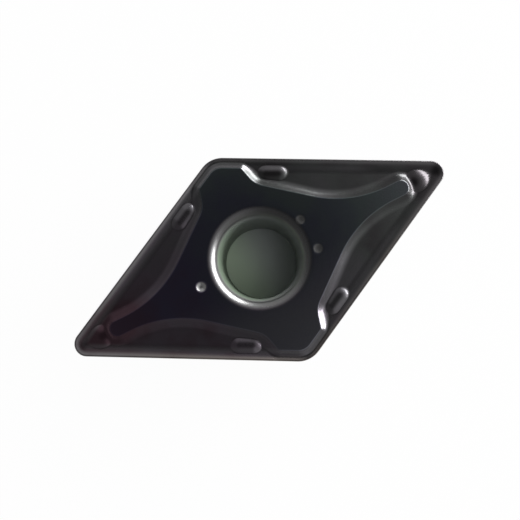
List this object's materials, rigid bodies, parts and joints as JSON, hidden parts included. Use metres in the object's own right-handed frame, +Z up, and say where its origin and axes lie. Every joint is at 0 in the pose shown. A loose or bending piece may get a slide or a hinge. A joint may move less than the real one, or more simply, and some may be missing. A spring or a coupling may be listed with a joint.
{
  "type": "carbide turning insert",
  "caption": "Double-sided 55 degree rhombic turning insert with square flanks, a plain through bore with rounded mouths, and a moulded chip former on both faces.",
  "frame": {"origin": "on the bore axis, at the lower seat that the insert rests on", "axes": "+X along the long diagonal to one of the two sharp noses, +Y along the short diagonal to a blunt corner, +Z up the bore to the upper seat"},
  "size_m": [0.0256, 0.014, 0.0065],
  "materials": {
    "coated_carbide": "satin"
  },
  "bodies": {
    "root": {"insert_body": "coated_carbide"}
  },
  "joints": []
}
